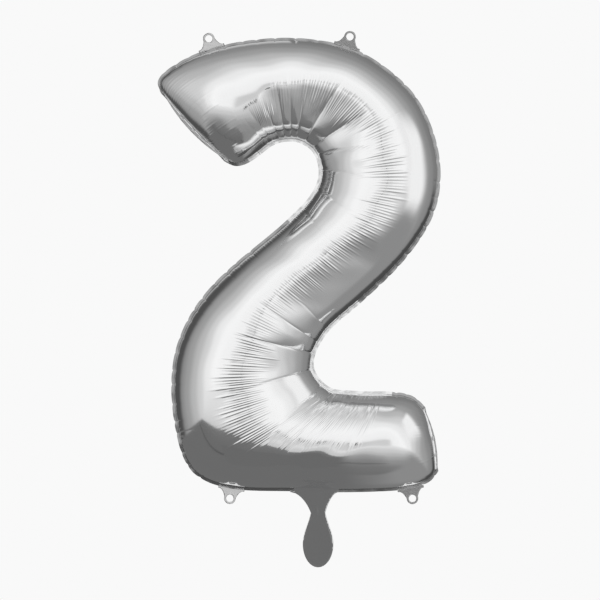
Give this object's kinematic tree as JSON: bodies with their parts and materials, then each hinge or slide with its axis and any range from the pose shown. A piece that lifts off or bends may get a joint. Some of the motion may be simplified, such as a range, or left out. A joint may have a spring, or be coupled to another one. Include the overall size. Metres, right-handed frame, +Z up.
{
  "type": "foil number balloon",
  "caption": "Inflated silver foil balloon shaped as the figure two, with a welded rim, a tie neck with a folding filling tail and an inner flap valve, and clear hanging tabs.",
  "frame": {"origin": "the point where a ribbon ties round the neck, under the sole of the figure, midway between the front and the back", "axes": "+Z up, along the figure's height; the figure reads from the front, which faces -Y; +X is to the reader's right"},
  "size_m": [0.5358, 0.2286, 1.0165],
  "materials": {
    "foil": "mirror-bright metallised film, pleated where it bends",
    "neck_foil": "flat metallised film that mirrors darker surroundings",
    "weld": "fused sealing layer between the films",
    "clear_film": "clear crinkled film",
    "valve_film": "clear polyethylene film",
    "release_print": "printed heat-resistant coating"
  },
  "bodies": {
    "root": {"front_panel": "foil", "back_panel": "foil", "perimeter_heat_seal": "weld", "neck_front_foil": "neck_foil", "neck_back_foil": "neck_foil", "neck_side_welds": "weld", "valve_neck_front_film": "valve_film", "valve_neck_back_film": "valve_film", "valve_neck_side_welds": "weld", "valve_release_print": "release_print", "tab_anchor_top_left": "clear_film", "tab_anchor_top_right": "clear_film", "tab_anchor_bottom_left": "clear_film", "tab_anchor_bottom_right": "clear_film"},
    "tail": {"tail_front_foil": "neck_foil", "tail_back_foil": "neck_foil", "tail_edge_seal": "weld", "valve_inlet_front_film": "valve_film", "valve_inlet_back_film": "valve_film"},
    "valve_sleeve": {"valve_sleeve_front_film": "valve_film", "valve_sleeve_back_film": "valve_film", "valve_sleeve_side_welds": "weld"},
    "tab_top_left": {"tab_top_left": "clear_film"},
    "tab_top_right": {"tab_top_right": "clear_film"},
    "tab_bottom_left": {"tab_bottom_left": "clear_film"},
    "tab_bottom_right": {"tab_bottom_right": "clear_film"}
  },
  "joints": [
    {"name": "tail_fold", "type": "hinge", "parent": "root", "child": "tail", "pos_m": [0, 0, -0.005], "axis": [-1, 0, 0], "range_deg": [-130, 130]},
    {"name": "tab_top_left_fold", "type": "hinge", "parent": "root", "child": "tab_top_left", "pos_m": [-0.20216, 0, 0.88156], "axis": [0.9571, 0, 0.2899], "range_deg": [-100, 100], "stiffness_Nm_per_rad": 0.0005},
    {"name": "tab_top_right_fold", "type": "hinge", "parent": "root", "child": "tab_top_right", "pos_m": [0.05511, 0, 0.88536], "axis": [0.9514, 0, -0.3079], "range_deg": [-100, 100], "stiffness_Nm_per_rad": 0.0005},
    {"name": "tab_bottom_left_fold", "type": "hinge", "parent": "root", "child": "tab_bottom_left", "pos_m": [-0.16443, 0, 0.04436], "axis": [-0.987, 0, 0.1608], "range_deg": [-100, 100], "stiffness_Nm_per_rad": 0.0005},
    {"name": "tab_bottom_right_fold", "type": "hinge", "parent": "root", "child": "tab_bottom_right", "pos_m": [0.17561, 0, 0.04401], "axis": [-0.9833, 0, -0.182], "range_deg": [-100, 100], "stiffness_Nm_per_rad": 0.0005},
    {"name": "valve_sleeve_swing", "type": "hinge", "parent": "root", "child": "valve_sleeve", "pos_m": [0, 0, 0.049], "axis": [1, 0, 0], "range_deg": [-30, 30], "stiffness_Nm_per_rad": 0.002}
  ]
}
